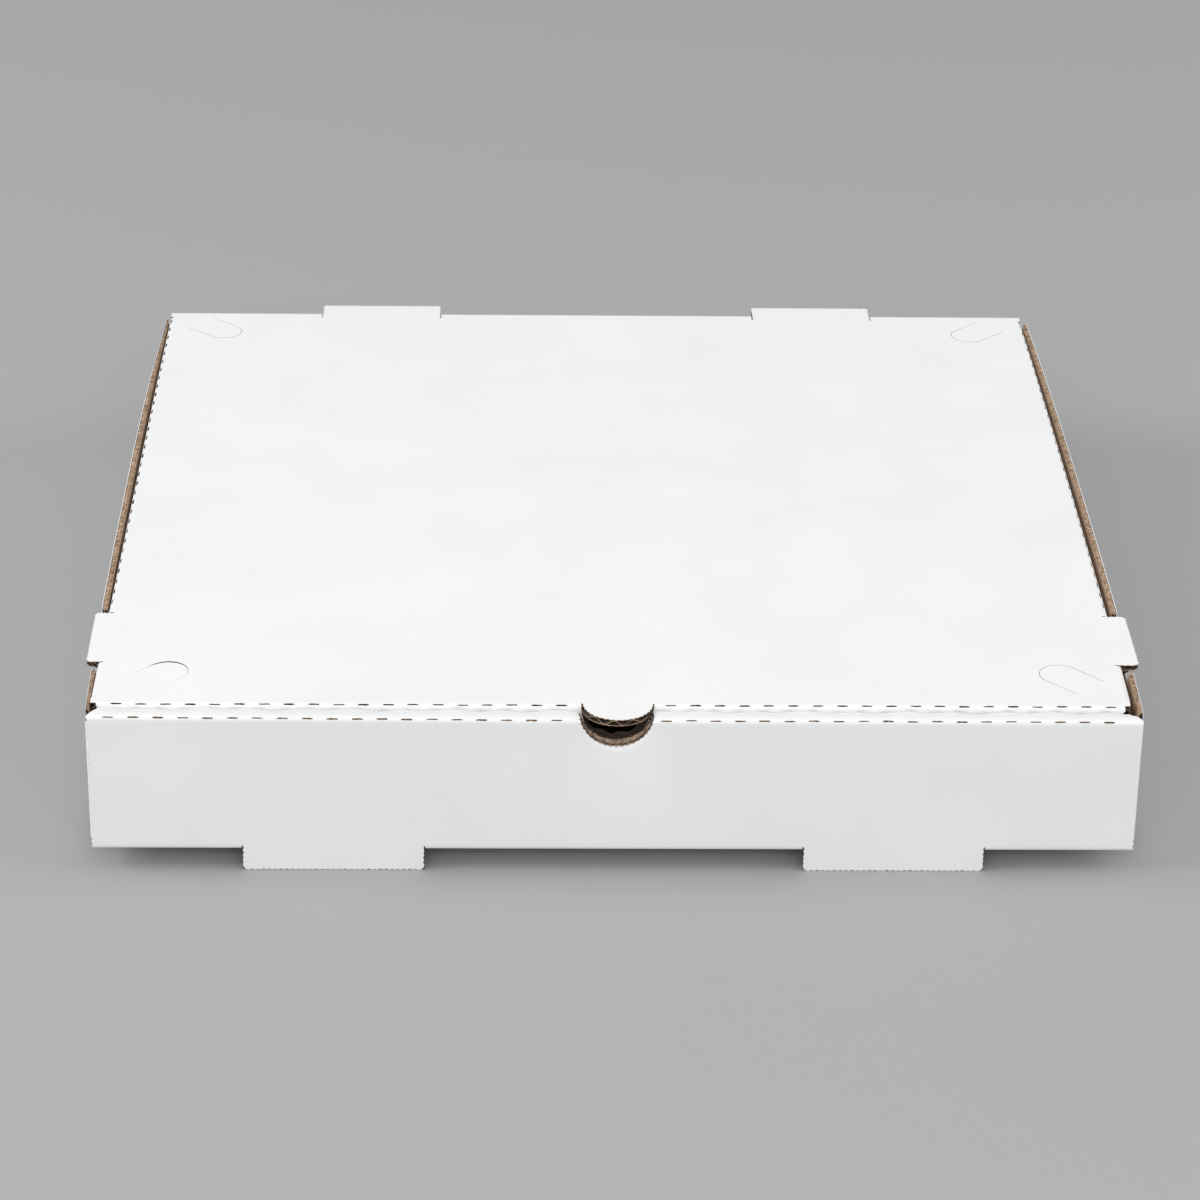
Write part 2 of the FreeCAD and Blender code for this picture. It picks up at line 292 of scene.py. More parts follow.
def lens(u, v, along, length, width):
    """Slot that a dash opens into; along is 0 for a dash that runs with u and 1 with v."""
    outline = []
    for i in range(16):
        angle = 2.0 * math.pi * (i + 0.5) / 16
        c, d = math.cos(angle), math.sin(angle)
        a = length / 2.0 * math.copysign(abs(c) ** 0.6, c)
        b = width / 2.0 * math.copysign(abs(d) ** 0.6, d) * rng.uniform(0.7, 1.15)
        outline.append((u + a, v + b) if along == 0 else (u + b, v + a))
    return outline


def dash_row(first, last, sign):
    """Places of the dashes of one half of a row."""
    pitch = (last - first) / (dash_count - 1)
    return [sign * (first + pitch * k) + rng.uniform(-dash_stray, dash_stray)
            for k in range(dash_count)]


def spaced(low, high, step):
    """Even places from low to high, step apart at most."""
    count = max(int(math.ceil((high - low) / step)), 1)
    return [low + (high - low) * i / count for i in range(count + 1)]


def inside(points, loop):
    """Which points lie inside a closed outline."""
    loop = np.array(loop)
    nxt = np.roll(loop, -1, axis=0)
    result = np.zeros(len(points), bool)
    low, high = loop.min(0), loop.max(0)
    near = np.flatnonzero(((points >= low) & (points <= high)).all(1))
    for block in np.array_split(near, 1 + len(near) // 2000):
        x, y = points[block, 0][:, None], points[block, 1][:, None]
        crosses = (loop[:, 1] > y) != (nxt[:, 1] > y)
        rise = np.where(nxt[:, 1] == loop[:, 1], 1.0, nxt[:, 1] - loop[:, 1])
        at = loop[:, 0] + (y - loop[:, 1]) * (nxt[:, 0] - loop[:, 0]) / rise
        result[block] = (crosses & (x < at)).sum(1) % 2 == 1
    return result


def triangulate(outline, holes, guides):
    """Triangles of a flat blank with holes, with edges along the guide lines."""
    points, edges = [], []
    for loop in [outline] + holes:
        first = len(points)
        points += loop
        edges += [(first + i, first + (i + 1) % len(loop)) for i in range(len(loop))]
    for guide in guides:
        first = len(points)
        points += guide
        edges += [(first + i, first + i + 1) for i in range(len(guide) - 1)]
    got = delaunay_2d_cdt([Vector(p) for p in points], edges, [], 0, 1e-4, False)
    flat = np.array([tuple(p) for p in got[0]])
    triangles = np.array([face for face in got[2] if len(face) == 3])
    middles = flat[triangles].mean(1)
    keep = inside(middles, outline)
    for hole in holes:
        keep &= ~inside(middles, hole)
    triangles = triangles[keep]
    a, b, c = (flat[triangles[:, i]] for i in range(3))
    doubled = (b[:, 0] - a[:, 0]) * (c[:, 1] - a[:, 1]) - (b[:, 1] - a[:, 1]) * (c[:, 0] - a[:, 0])
    triangles = triangles[np.abs(doubled) > 1e-7]
    doubled = doubled[np.abs(doubled) > 1e-7]
    triangles[doubled < 0] = triangles[doubled < 0][:, ::-1]
    used, triangles = np.unique(triangles, return_inverse=True)
    return flat[used], triangles.reshape(-1, 3)


# Folding

def bend(s, n, start, angle=math.pi / 2.0):
    """Carries (s, n) round a fold that begins at s = start and turns towards +n."""
    turned = np.clip((s - start) / fold, 0.0, angle)
    run = np.maximum(s - start - fold * angle, 0.0)
    a = start + (fold - n) * np.sin(turned) + run * np.cos(turned)
    b = fold - (fold - n) * np.cos(turned) + run * np.sin(turned)
    past = s > start
    return np.where(past, a, s), np.where(past, b, n)


def crush(s, n, starts):
    """Thins the board towards each fold."""
    share = np.ones_like(s)
    for start in starts:
        off = np.maximum(np.maximum(start - s, s - start - fold_arc), 0.0)
        dip = 1.0 - np.clip(off / crush_reach, 0.0, 1.0)
        share = np.minimum(share, 1.0 - (1.0 - fold_crush) * dip * dip * (3.0 - 2.0 * dip))
    return n * share


def in_foot(x, s):
    """Points of a foot, given as the distance s past the start of its fold; s runs up the wall."""
    return (np.abs(x) > foot_near - foot_slot / 2.0) & (np.abs(x) < foot_far + foot_slot / 2.0) & (
        s <= fold_arc) & (s > fold_arc - fold - foot_height - foot_slot)


def fold_wall(x, s, n, starts):
    """Distance in from the wall's outer face, and height, for a run that climbs from the floor."""
    a, b = s.copy(), crush(s, n, starts)
    for start in reversed(starts):
        a, b = bend(a, b, start)
    foot = in_foot(x, s)
    inward = np.where(foot, n, fold - a)
    up = np.where(foot, fold + s - fold_arc, b)
    return inward, up


def place_tray(x, v, n):
    """Front walls, floor and back wall."""
    ahead, behind = -v, v - floor_run
    front_in, front_up = fold_wall(x, ahead, n, [0.0, fold_two, fold_three])
    back_in, back_up = fold_wall(x, behind, n, [0.0])
    front_side = v < floor_run / 2.0
    y = np.where(front_side, front + front_in, back - back_in)
    z = floor_under + np.where(front_side, front_up, back_up)
    up = np.clip((z - floor_under) / (wall_top - floor_under), 0.0, 1.0)
    near = y < front + strip_depth + 1.0
    lift = left_rise * np.clip(-x / front_half, 0.0, 1.0) * up
    wave = strip_even + strip_wave_share * np.sin(x / strip_wave)
    wave = wave + strip_swell_share * np.sin(x / strip_swell + 1.0)
    rear = np.clip((y - front - 4.0) / 3.0, 0.0, 1.0) * np.clip((z - wall_top + 6.0) / 6.0, 0.0, 1.0)
    aside = notch_shift * np.exp(-(x / 20.0) ** 2) * near * up
    return x + aside, y, z + near * (lift - strip_sag * rear * wave)


def bulge(y):
    """Share of the full bulge of a side at y, none at the corners."""
    along = np.clip((y - side_front + 6.0) / (side_back - side_front + 12.0), 0.0, 1.0)
    return 1.0 - np.abs(2.0 * along - 1.0) ** 2.7


def bow_of(y, z):
    """How far a side wall is pushed out."""
    up = np.clip((z - floor_under) / (wall_top - floor_under), 0.0, 1.0)
    return side_bow * bulge(y) * up ** 1.4


def place_side(sign):
    def place(y, h, n):
        """Side wall and its corner flaps."""
        to_front, to_back = corner_front + fold - y, y - corner_back + fold
        thin = crush(to_front, crush(to_back, n, [0.0]), [0.0])
        a, b = bend(to_front, thin, 0.0)
        c, d = bend(to_back, thin, 0.0)
        top = np.clip((h - fold_arc - wall_flat + pinch_low) / pinch_run, 0.0, 1.0)
        near_front = np.exp(-((y - side_front) / corner_front_reach) ** 2)
        near_back = np.exp(-((side_back - y) / corner_back_reach) ** 2)
        at_corners = left_pinch * (near_front + near_back) if sign < 0 else right_pinch * near_front
        pinch = (top_pinch + at_corners) * top
        ahead = y < (front + back) / 2.0
        y_at = np.where(ahead, corner_front + fold - a, corner_back - fold + c)
        depth = np.where(ahead, b, d)
        inward = np.where(depth > board + 0.01, depth, crush(h, depth, [0.0]))
        out, up = bend(h, inward * (1.0 - pinch), 0.0)
        z = floor_under + up
        lean = side_lean * near_back * top if sign < 0 else 0.0
        x = side_outer - fold + out + bow_of(y_at, z) - lean
        return sign * x, y_at, z
    return place


def on_lid_plane(x, y):
    """Ears, finger tab and corners, which stay flat while the flaps beside them fold down."""
    past_x = np.abs(x) - ear_out + ear_round
    past_y = np.abs(y - (ear_front + ear_back) / 2.0) - (ear_back - ear_front) / 2.0 + ear_round
    corner = np.hypot(np.maximum(past_x, 0.0), np.maximum(past_y, 0.0))
    ear = corner + np.minimum(np.maximum(past_x, past_y), 0.0) - ear_round < slot / 2.0
    tab = np.hypot(x, y - tab_centre) < tab_radius + slot / 2.0
    past_flap = (np.abs(x) > lid_half - fold) & ((y < flap_front - 0.2) | (y > flap_back + 0.2))
    return ear | tab | past_flap


def place_lid(x, y, n):
    """Lid panel with its flaps; its white side is up, so n runs down."""
    ahead, beside = lid_front + fold - y, np.abs(x) - lid_half + fold
    flat = on_lid_plane(x, y)
    press = np.clip((beside - fold) / (ear_out - lid_half), 0.0, 1.0)
    n = np.where(flat & (beside > 0.0), n * (1.0 - (1.0 - ear_press) * press), n)
    a, b = bend(ahead, crush(ahead, n, [0.0]), 0.0, math.pi / 2.0 + flap_lean)
    c, d = bend(beside, crush(beside, n, [0.0]), 0.0)
    folded_ahead = (ahead > 0.0) & ~flat
    folded_beside = (beside > 0.0) & ~flat & ~folded_ahead
    near_front = ahead > -crush_reach
    thin = np.where(near_front, b, d)
    y_at = np.where(folded_ahead, lid_front + fold - a, y)
    x_at = np.where(folded_beside, np.sign(x) * (lid_half - fold + c), x)
    down = np.where(folded_ahead, b, np.where(folded_beside, d, np.where(flat, n, thin)))
    swell = lid_swell / lid_half * bulge(y_at) * (1.0 - 0.6 * down / (lid_top - flap_low))
    sway = np.interp(x_at, (-ear_out, -lid_half, 0.0, lid_half, ear_out), lid_sway)
    sway = sway * np.exp(-(y_at - lid_front) / sway_reach) * np.clip(1.0 - down / sway_depth, 0.0, 1.0)
    droop = lid_droop * np.clip((back - y_at) / (back - front), 0.0, 1.0)
    return x_at * (1.0 + swell) + sway, y_at, lid_top - droop - np.maximum(down, 0.0)


def place_hinge(x, s, n):
    """From the top of the back wall over the fold onto the lid."""
    a, b = bend(s, crush(s, n, [hinge_run]), hinge_run)
    return x, back - b, hinge_low + a


# Blanks: outline, holes, guide lines and dashes of each

# Distances from the start of a fold at which its guide lines run
fold_offsets = [-crush_reach, -crush_reach / 2.0] + [fold_arc * k / 6.0 for k in range(7)]
fold_offsets += [fold_arc + crush_reach / 2.0, fold_arc + crush_reach]


def fold_guides(u0, u1, start, direction, swap=False, step=dash_pitch / 6.0):
    """Lines along a fold, close enough together to round it, and where its thinning ends."""
    guides = []
    for offset in fold_offsets:
        v = direction * (start + offset)
        row = [(u, v) for u in spaced(u0, u1, step)]
        guides.append([(v, u) for u, v in row] if swap else row)
    return guides


def foot_slot_loop(centre_sign, to_v):
    """Slit round a foot, with the foot's own outline as its inner side."""
    s_end = fold_arc - fold - foot_height
    s_hole = -(strip_depth + sheet_gap - fold)
    near, far = foot_near, foot_far
    loop = rounded([
        (near - foot_slot, fold_arc, 0, False),
        (near - foot_slot, s_hole, 0, False),
        (far + foot_slot, s_hole, 0, False),
        (far + foot_slot, fold_arc, 0, False),
        (far, fold_arc, 0, True),
        (far, s_end, foot_round, True),
        (near, s_end, foot_round, True),
        (near, fold_arc, 0, False),
    ], side=-1)
    return [(centre_sign * u, to_v(s)) for u, s in loop]


def tray_blank():
    """Front walls, floor and back wall, in (x, distance along the sheet from the front fold)."""
    on_strip = fold_two + fold_arc - fold
    lock_end = front_run + flap_bottom - floor_under
    back_top = floor_run + back_run
    hole_low = floor_run + lug_hole_low
    right = rounded([
        (0.0, -front_run, 0, False),
        (foot_near + lock_play, -front_run, 0, False),
        (foot_near + lock_play, -lock_end, 0, False),
        (foot_far - lock_play, -lock_end, 0, False),
        (foot_far - lock_play, -front_run, 0, False),
        (inner_end, -front_run, 0, True),
        (inner_end, -(on_strip + strip_slope), strip_slope_round, False),
        (front_half, -(on_strip + strip_corner), strip_corner_round, True),
        (front_half, 0.0, 0, False),
        (floor_half, side_front - front - fold, 0, False),
        (floor_half, side_back - front - fold, 0, False),
        (back_end, floor_run, 0, True),
        (back_end, back_top, 0, False),
        (lug_far + sheet_gap, back_top, 0, False),
        (lug_far + sheet_gap, hole_low, 0, True),
        (lug_near - sheet_gap, hole_low, 0, False),
        (lug_near - sheet_gap, back_top, 0, False),
        (0.0, back_top, 0, False),
    ], closed=False)
    holes = []
    for sign in (1, -1):
        holes.append(foot_slot_loop(sign, lambda s: -s))
        holes.append(foot_slot_loop(sign, lambda s: floor_run + s))
    notch = arc((0.0, -(notch_low + notch_radius)), notch_radius, 0, 180, True)
    notch += arc((0.0, -(notch_high - notch_radius)), notch_radius, 180, 360, True)
    holes.append(notch)
    guides = []
    for grow in (0.5, 1.0, 1.6):
        guides.append(arc((0.0, -(notch_low + notch_radius)), notch_radius + grow, 2, 178))
    for start in (fold_two, fold_three):
        guides += fold_guides(-front_half - 1.0, front_half + 1.0, start, -1.0)
    guides += fold_guides(-front_half - 1.0, front_half + 1.0, 0.0, -1.0, step=20.0)
    guides += fold_guides(-front_half - 1.0, front_half + 1.0, floor_run, 1.0, step=20.0)
    dashes = []
    places = dash_row(16.8, 166.4, 1) + dash_row(20.2, 170.6, -1)
    for start in (fold_two, fold_three):
        v = -(start + fold_arc / 2.0)
        for x in places:
            if abs(x) < inner_end - dash_length or start == fold_two:
                dashes.append(lens(x, v + rng.uniform(-0.1, 0.1), 0, dash_length,
                                   dash_open * rng.uniform(0.8, 1.3)))
    return mirror_path(right), holes, guides, dashes


def side_blank():
    """Side wall with corner flaps, in (y, height along the sheet)."""
    def at(z):
        return z - floor_under - fold + fold_arc
    low, mid, top = at(flap_bottom), at(corner_top), at(wall_top)
    flap_front = corner_front + fold - fold_arc - (corner_flap - fold)
    flap_back = corner_back - fold + fold_arc + (corner_flap - fold)
    r0, r1 = ear_front - recess_play, ear_back + recess_play
    outline = rounded([
        (side_front, -0.6, 0, False),
        (side_back, -0.6, 0, False),
        (side_back, low, 0, False),
        (flap_back, low, corner_flap_round, False),
        (flap_back, mid, corner_flap_round, False),
        (side_back + fold * 0.5, mid, 0, False),
        (side_back, top, 0, False),
        (r1, top, 0, True),
        (r1, top - recess_depth, recess_round, True),
        (r0, top - recess_depth, recess_round, True),
        (r0, top, 0, False),
        (side_front, top, 0, False),
        (side_front - 0.5, mid, 0, False),
        (flap_front, mid, corner_flap_round, False),
        (flap_front, low, corner_flap_round, False),
        (side_front, low, 0, False),
    ])
    guides = fold_guides(front, back, 0.0, 1.0, step=20.0)
    for start, direction in ((-(corner_front + fold), -1.0), (corner_back - fold, 1.0)):
        guides += fold_guides(0.0, top + 1.0, start, direction, swap=True, step=12.0)
    for y in spaced(side_front + 4.0, side_back - 4.0, 14.0):
        guides.append([(y, fold_arc), (y, top + 1.0)])
    for h in spaced(fold_arc, top, 12.0)[1:-1]:
        guides.append([(side_front, h), (side_back, h)])
    return outline, [], guides


def tongue_loop(x, y, to_corner, open_angle=None):
    """U-shaped slit round a tongue, wider towards open_angle (in half turns) if that is given."""
    turn = math.atan2(to_corner[1], to_corner[0])
    course = [(tongue_length * (1.0 - k / 8.0), tongue_radius, 0.5) for k in range(8)]
    for a in np.linspace(0.5, 1.5, 29):
        course.append((tongue_radius * math.cos(a * math.pi), tongue_radius * math.sin(a * math.pi), a))
    course += [(tongue_length * (k + 1) / 8.0, -tongue_radius, 1.5) for k in range(8)]
    inner, outer = [], []
    for i, (a, b, angle) in enumerate(course):
        half = tongue_gap / 2.0
        if open_angle is not None:
            half = 0.02 + 0.38 * math.exp(-((angle - open_angle) / 0.33) ** 2 - max(a, 0.0) / 1.5)
        across = (0.0, math.copysign(1.0, b)) if a >= 0.0 else (a / tongue_radius, b / tongue_radius)
        outer.append((a + across[0] * half, b + across[1] * half))
        inner.append((a - across[0] * half, b - across[1] * half))
    loop = outer + inner[::-1]
    c, s = math.cos(turn), math.sin(turn)
    return [(x + c * a - s * b, y + s * a + c * b) for a, b in loop]


def lid_blank():
    """Lid panel, flaps, ears, lugs and tab, in (x, y) of the lid plane."""
    flap_end = lid_front + fold - flap_run
    side_end = lid_half - fold + flap_run
    side_seat = lid_half - fold
    end = front_flap_half
    right = rounded([
        (0.0, flap_end, 0, True),
        (end - flap_taper, flap_end, flap_round, True),
        (end, lid_front + fold - fold_arc, 0, False),
        (end, lid_front + 1.0, 0, False),
        (lid_half - 0.5, lid_front + 1.0, 0, False),
        (lid_half - 0.5, flap_front - 1.0, 0, False),
        (side_seat, flap_front, 0, False),
        (side_end, flap_front, flap_round, False),
        (side_end, flap_back, flap_round, False),
        (side_seat, flap_back, 0, False),
        (lid_half, flap_back + 1.0, 0, False),
        (lid_half, hinge_front, 0, False),
        (lug_far, hinge_front, 0, True),
        (lug_far, lug_tip, lug_round, True),
        (lug_near, lug_tip, lug_round, True),
        (lug_near, hinge_front, 0, False),
        (0.0, hinge_front, 0, False),
    ], closed=False)
    holes = []
    for sign in (1, -1):
        ear = rounded([
            (lid_half - ear_relief, ear_back + slot, 0, False),
            (ear_out + slot, ear_back + slot, ear_round + slot, False),
            (ear_out + slot, ear_front - slot, ear_round + slot, False),
            (lid_half - ear_relief, ear_front - slot, 0, False),
            (lid_half - ear_relief, ear_front, 0, True),
            (ear_out, ear_front, ear_round, True),
            (ear_out, ear_back, ear_round, True),
            (lid_half - ear_relief, ear_back, 0, False),
        ])
        holes.append([(sign * u, v) for u, v in ear])
        x = sign * (lid_half - tongue_side)
        corner = sign * tongue_side
        holes.append(tongue_loop(x + tongue_shift, lid_front + tongue_front, (corner, -tongue_front),
                                 1.25 if sign < 0 else None))
        holes.append(tongue_loop(x, back - tongue_back, (corner, tongue_back)))
    reach = lid_front + fold - tab_centre
    half = math.degrees(math.asin(reach / tab_radius))
    round_tab = arc((0.0, tab_centre), tab_radius, 180 - half, 360 + half, True)
    beside_tab = []
    for u, v in arc((0.0, tab_centre), tab_radius + slot, 180 - half, 360 + half):
        drop = np.clip((lid_front + fold - v) / (tab_radius + reach), 0.0, 1.0)
        beside_tab.append((u + 0.4 * drop, v - tab_hole_play * drop))
    beside_tab.append(((tab_radius + slot) * math.cos(math.radians(half)), lid_front + fold))
    holes.append(beside_tab + round_tab[::-1])
    guides = fold_guides(-lid_half - 1.0, lid_half + 1.0, -(lid_front + fold), -1.0)
    for sign in (1, -1):
        guides += fold_guides(flap_front, flap_back, side_seat, sign, swap=True)
        along = spaced(flap_front + flap_round, flap_back - flap_round, 8.0)
        for u in (side_seat + fold_arc + sway_depth - fold, side_end - 0.3):
            guides.append([(sign * u, v) for v in along])
    dashes = []
    for x in dash_row(18.0, 168.6, 1) + dash_row(18.9, 166.9, -1):
        dashes.append(lens(x, lid_front + fold - fold_arc * 0.42 + rng.uniform(-0.1, 0.1), 0,
                           dash_length, dash_open * rng.uniform(0.8, 1.2)))
    for sign in (1, -1):
        count = int((flap_back - flap_front) / dash_pitch)
        for k in range(count):
            y = flap_front + dash_pitch * (k + 0.6)
            if y < ear_back + dash_length:
                continue
            wide = rng.uniform(1.2, 1.8) * (1.0 if sign < 0 else 0.6)
            dashes.append(lens(sign * (side_seat + fold_arc * 0.38), y, 1,
                               dash_length, dash_open * wide))
    return mirror_path(right), holes, guides, dashes


# Meshes

def mesh_object(name, parts, materials, body=None):
    """One object from parts (points, faces, material number of each face)."""
    vertices, faces, kinds, first = [], [], [], 0
    for points, these, numbers in parts:
        vertices.append(points * MM)
        faces += [tuple(i + first for i in face) for face in these]
        kinds += numbers
        first += len(points)
    mesh = bpy.data.meshes.new(name)
    mesh.from_pydata(np.concatenate(vertices).tolist(), [], faces)
    for material in materials:
        mesh.materials.append(material)
    mesh.polygons.foreach_set("material_index", kinds)
    mesh.validate()
    shell = bmesh.new()
    shell.from_mesh(mesh)
    bmesh.ops.recalc_face_normals(shell, faces=shell.faces)
    shell.to_mesh(mesh)
    shell.free()
    mesh.shade_smooth()
    mesh.set_sharp_from_angle(angle=math.radians(28))
    obj = bpy.data.objects.new(name, mesh)
    bpy.context.scene.collection.objects.link(obj)
    if body:
        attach(obj, body)
    return obj


def ripple(flat, dashes):
    """Outward push of the liner beside each dash."""
    push = np.zeros(len(flat))
    if not dashes:
        return push
    centres = np.array([np.mean(d, axis=0) for d in dashes])
    spans = np.array([np.ptp(np.array(d), axis=0) for d in dashes])
    for (cu, cv), (su, sv) in zip(centres, spans):
        du = (flat[:, 0] - cu) / (push_along if su > sv else push_across)
        dv = (flat[:, 1] - cv) / (push_across if su > sv else push_along)
        push += push_rise * np.exp(-(du * du + dv * dv))
    return push


def skin(blank, place, n0, n1, dashes=(), press=None, rim=2, slits=None):
    """Closed sheet between the depths n0 and n1; its outer, inner and rim faces are numbered. Rim faces
    where slits holds take number 1, the near-black painted shade.
    """
    outline, holes, guides = blank
    flat, triangles = triangulate(outline, holes + list(dashes), guides)
    push = ripple(flat, dashes)
    if press is not None:
        push = push - press(flat)
    u, v = flat[:, 0], flat[:, 1]
    layers = []
    for n in (n0, n1):
        x, y, z = place(u, v, n - push)
        layers.append(np.column_stack([x, y, z]))
    count = len(flat)
    edges = np.concatenate([triangles[:, [0, 1]], triangles[:, [1, 2]], triangles[:, [2, 0]]])
    keys = {(a, b) for a, b in edges.tolist()}
    faces = [tuple(t) for t in triangles.tolist()]
    faces += [(c + count, b + count, a + count) for a, b, c in triangles.tolist()]
    edge = [(a, b) for a, b in sorted(keys) if (b, a) not in keys]
    faces += [(b, a, a + count, b + count) for a, b in edge]
    numbers = [0] * len(triangles) + [1] * len(triangles)
    # Rim faces of the slits take number 1, painted shade inside the slit.
    numbers += [1 if slits and slits(*flat[a]) else rim for a, b in edge]
    return np.concatenate(layers), faces, numbers


def slab(top, bottom, number=0):
    """Closed solid between two grids of points of the same shape; its rim is number 1."""
    rows, columns = top.shape[:2]
    points = np.concatenate([top.reshape(-1, 3), bottom.reshape(-1, 3)])
    below = rows * columns
    faces = []
    for i in range(rows - 1):
        for j in range(columns - 1):
            a, b, c, d = (i * columns + j, i * columns + j + 1,
                          (i + 1) * columns + j + 1, (i + 1) * columns + j)
            faces.append((a, b, c, d))
            faces.append((d + below, c + below, b + below, a + below))
    ring = list(range(columns))
    ring += [i * columns + columns - 1 for i in range(1, rows)]
    ring += [(rows - 1) * columns + j for j in range(columns - 2, -1, -1)]
    ring += [i * columns for i in range(rows - 2, 0, -1)]
    for a, b in zip(ring, ring[1:] + ring[:1]):
        faces.append((b, a, a + below, b + below))
    return points, faces, [number] * (len(faces) - len(ring)) + [1] * len(ring)


def band(place, us, vs, n0, n1, number=0):
    """Closed strip of sheet over a grid of blank places, between the depths n0 and n1."""
    uu, vv = np.meshgrid(us, vs, indexing="ij")
    layers = []
    for n in (n0, n1):
        got = place(uu.ravel(), vv.ravel(), np.full(uu.size, n))
        layers.append(np.stack(got, axis=-1).reshape(*uu.shape, 3))
    return slab(*layers, number)


def flutes(place, w0, w1, spans, swap=False, steps=1):
    """Fluting of one panel. The wave runs along w, and spans(w) gives where it starts and ends. Its
    sheet takes number 0, the near-black painted shade; its cut ends take number 1.
    """
    places = spaced(w0, w1, flute_wave / 10.0)
    middle = board / 2.0
    height = board / 2.0 - liner - flute_sheet / 2.0
    parts, strips = [], []
    for w in places:
        for index, (v0, v1) in enumerate(spans(w)):
            if index >= len(strips):
                strips.append([])
            strips[index].append((w, v0, v1))
    for strip in strips:
        if len(strip) < 2:
            continue
        w, v0, v1 = (np.array(x) for x in zip(*strip))
        share = np.linspace(0.0, 1.0, steps + 1)
        ww = np.repeat(w[:, None], steps + 1, axis=1)
        vv = v0[:, None] + (v1 - v0)[:, None] * share
        n = middle + height * np.sin(2.0 * math.pi * ww / flute_wave)
        layers = []
        for depth in (n - flute_sheet / 2.0, n + flute_sheet / 2.0):
            args = (vv, ww, depth) if swap else (ww, vv, depth)
            layers.append(np.stack(place(*(a.ravel() for a in args)), axis=-1).reshape(*ww.shape, 3))
        parts.append(slab(*layers))
    return parts


def chord(radius, offset):
    """Half the length of a circle's chord at an offset from its centre."""
    return math.sqrt(max(radius * radius - offset * offset, 0.0))


# Materials

def new_material(name, rough, specular):
    material = bpy.data.materials.new(name)
    material.use_nodes = True
    nodes, links = material.node_tree.nodes, material.node_tree.links
    shader = nodes["Principled BSDF"]
    shader.inputs["Roughness"].default_value = rough
    shader.inputs["Specular IOR Level"].default_value = specular
    return material, nodes, links, shader


def noise(nodes, links, scale, detail, stretch=(1, 1, 1)):
    """Noise in the object's own coordinates."""
    mapping = nodes.new("ShaderNodeMapping")
    mapping.inputs["Scale"].default_value = stretch
    links.new(nodes.new("ShaderNodeTexCoord").outputs["Object"], mapping.inputs["Vector"])
    node = nodes.new("ShaderNodeTexNoise")
    node.inputs["Scale"].default_value = scale
    node.inputs["Detail"].default_value = detail
    links.new(mapping.outputs["Vector"], node.inputs["Vector"])
    return node.outputs["Fac"]


def tint(nodes, links, shader, value, dark, light):
    """Colours the shader between two tones."""
    node = nodes.new("ShaderNodeMapRange")
    node.inputs["From Min"].default_value = 0.35
    node.inputs["From Max"].default_value = 0.65
    links.new(value, node.inputs["Value"])
    mix = nodes.new("ShaderNodeMix")
    mix.data_type = "RGBA"
    mix.inputs["A"].default_value = (*dark, 1.0)
    mix.inputs["B"].default_value = (*light, 1.0)
    links.new(node.outputs["Result"], mix.inputs["Factor"])
    links.new(mix.outputs["Result"], shader.inputs["Base Color"])


def emboss(nodes, links, shader, height, strength):
    """Raises the paper's fibres."""
    bump = nodes.new("ShaderNodeBump")
    bump.inputs["Strength"].default_value = strength
    bump.inputs["Distance"].default_value = 0.00004
    links.new(height, bump.inputs["Height"])
    links.new(bump.outputs["Normal"], shader.inputs["Normal"])


def white_paper():
    material, nodes, links, shader = new_material("white_liner", 0.82, 0.25)
    broad = noise(nodes, links, 22.0, 3.0)
    fine = noise(nodes, links, 900.0, 3.0, (1.0, 0.45, 1.0))
    tint(nodes, links, shader, broad, (0.845, 0.85, 0.855), (0.875, 0.878, 0.88))
    emboss(nodes, links, shader, fine, 0.25)
    return material


def kraft(name, dark, light, scale, stretch=(1, 1, 1)):
    material, nodes, links, shader = new_material(name, 0.9, 0.2)
    fibre = noise(nodes, links, scale, 4.0, stretch)
    tint(nodes, links, shader, fibre, dark, light)
    emboss(nodes, links, shader, fibre, 0.3)
    return material


def plain(name, colour, rough):
    material, _, _, shader = new_material(name, rough, 0.2)
    shader.inputs["Base Color"].default_value = (*colour, 1.0)
    return material


WHITE = white_paper()
KRAFT = kraft("kraft_liner", (0.40, 0.272, 0.185), (0.455, 0.318, 0.222), 1100.0, (1.0, 0.4, 1.0))
EDGE = kraft("cut_edge", (0.22, 0.15, 0.10), (0.62, 0.43, 0.29), 700.0)
# Light kraft for the torn fluting round the finger notch: partly the fluting's own tone, partly painted
# light standing in for lamp light that hardly reaches the notch's rim.
TORN_AND_LIT_FLUTING = kraft("torn_fluting_painted_light", (0.34, 0.25, 0.19), (0.92, 0.70, 0.53), 700.0)
# Near-black painted shade for the insides of the board: the fluting, the liners' inner faces and the
# rims of the lid's tongue slits are brown paper in shade.
PAINTED_SHADE = plain("painted_shade", (0.075, 0.055, 0.045), 0.95)


# Tray

def outer_wall_spans(x):
    """Where the fluting of the outer front wall starts and ends at x, in distance up the sheet."""
    foot = foot_near < abs(x) < foot_far
    low = fold_arc - fold - foot_height if foot else fold_arc
    high = fold_two
    if abs(x) < notch_clear:
        high = min(high, notch_low + notch_radius - chord(notch_clear, x))
    return [(-low, -high)] if high > low + 0.5 else []


def inner_wall_spans(x):
    low = fold_three + fold_arc
    if abs(x) < notch_clear:
        low = max(low, notch_high - notch_radius + chord(notch_clear, x))
    return [(-low, -front_run)]


def strip_spans(x):
    low, high = fold_two + fold_arc, fold_three
    return [] if abs(x) < notch_clear else [(-low, -high)]


def back_wall_spans(x):
    low, high = fold_arc, back_run
    if lug_near - sheet_gap < abs(x) < lug_far + sheet_gap:
        high = lug_hole_low
    if foot_near < abs(x) < foot_far:
        low = fold_arc - fold - foot_height
    return [(floor_run + low, floor_run + high)]


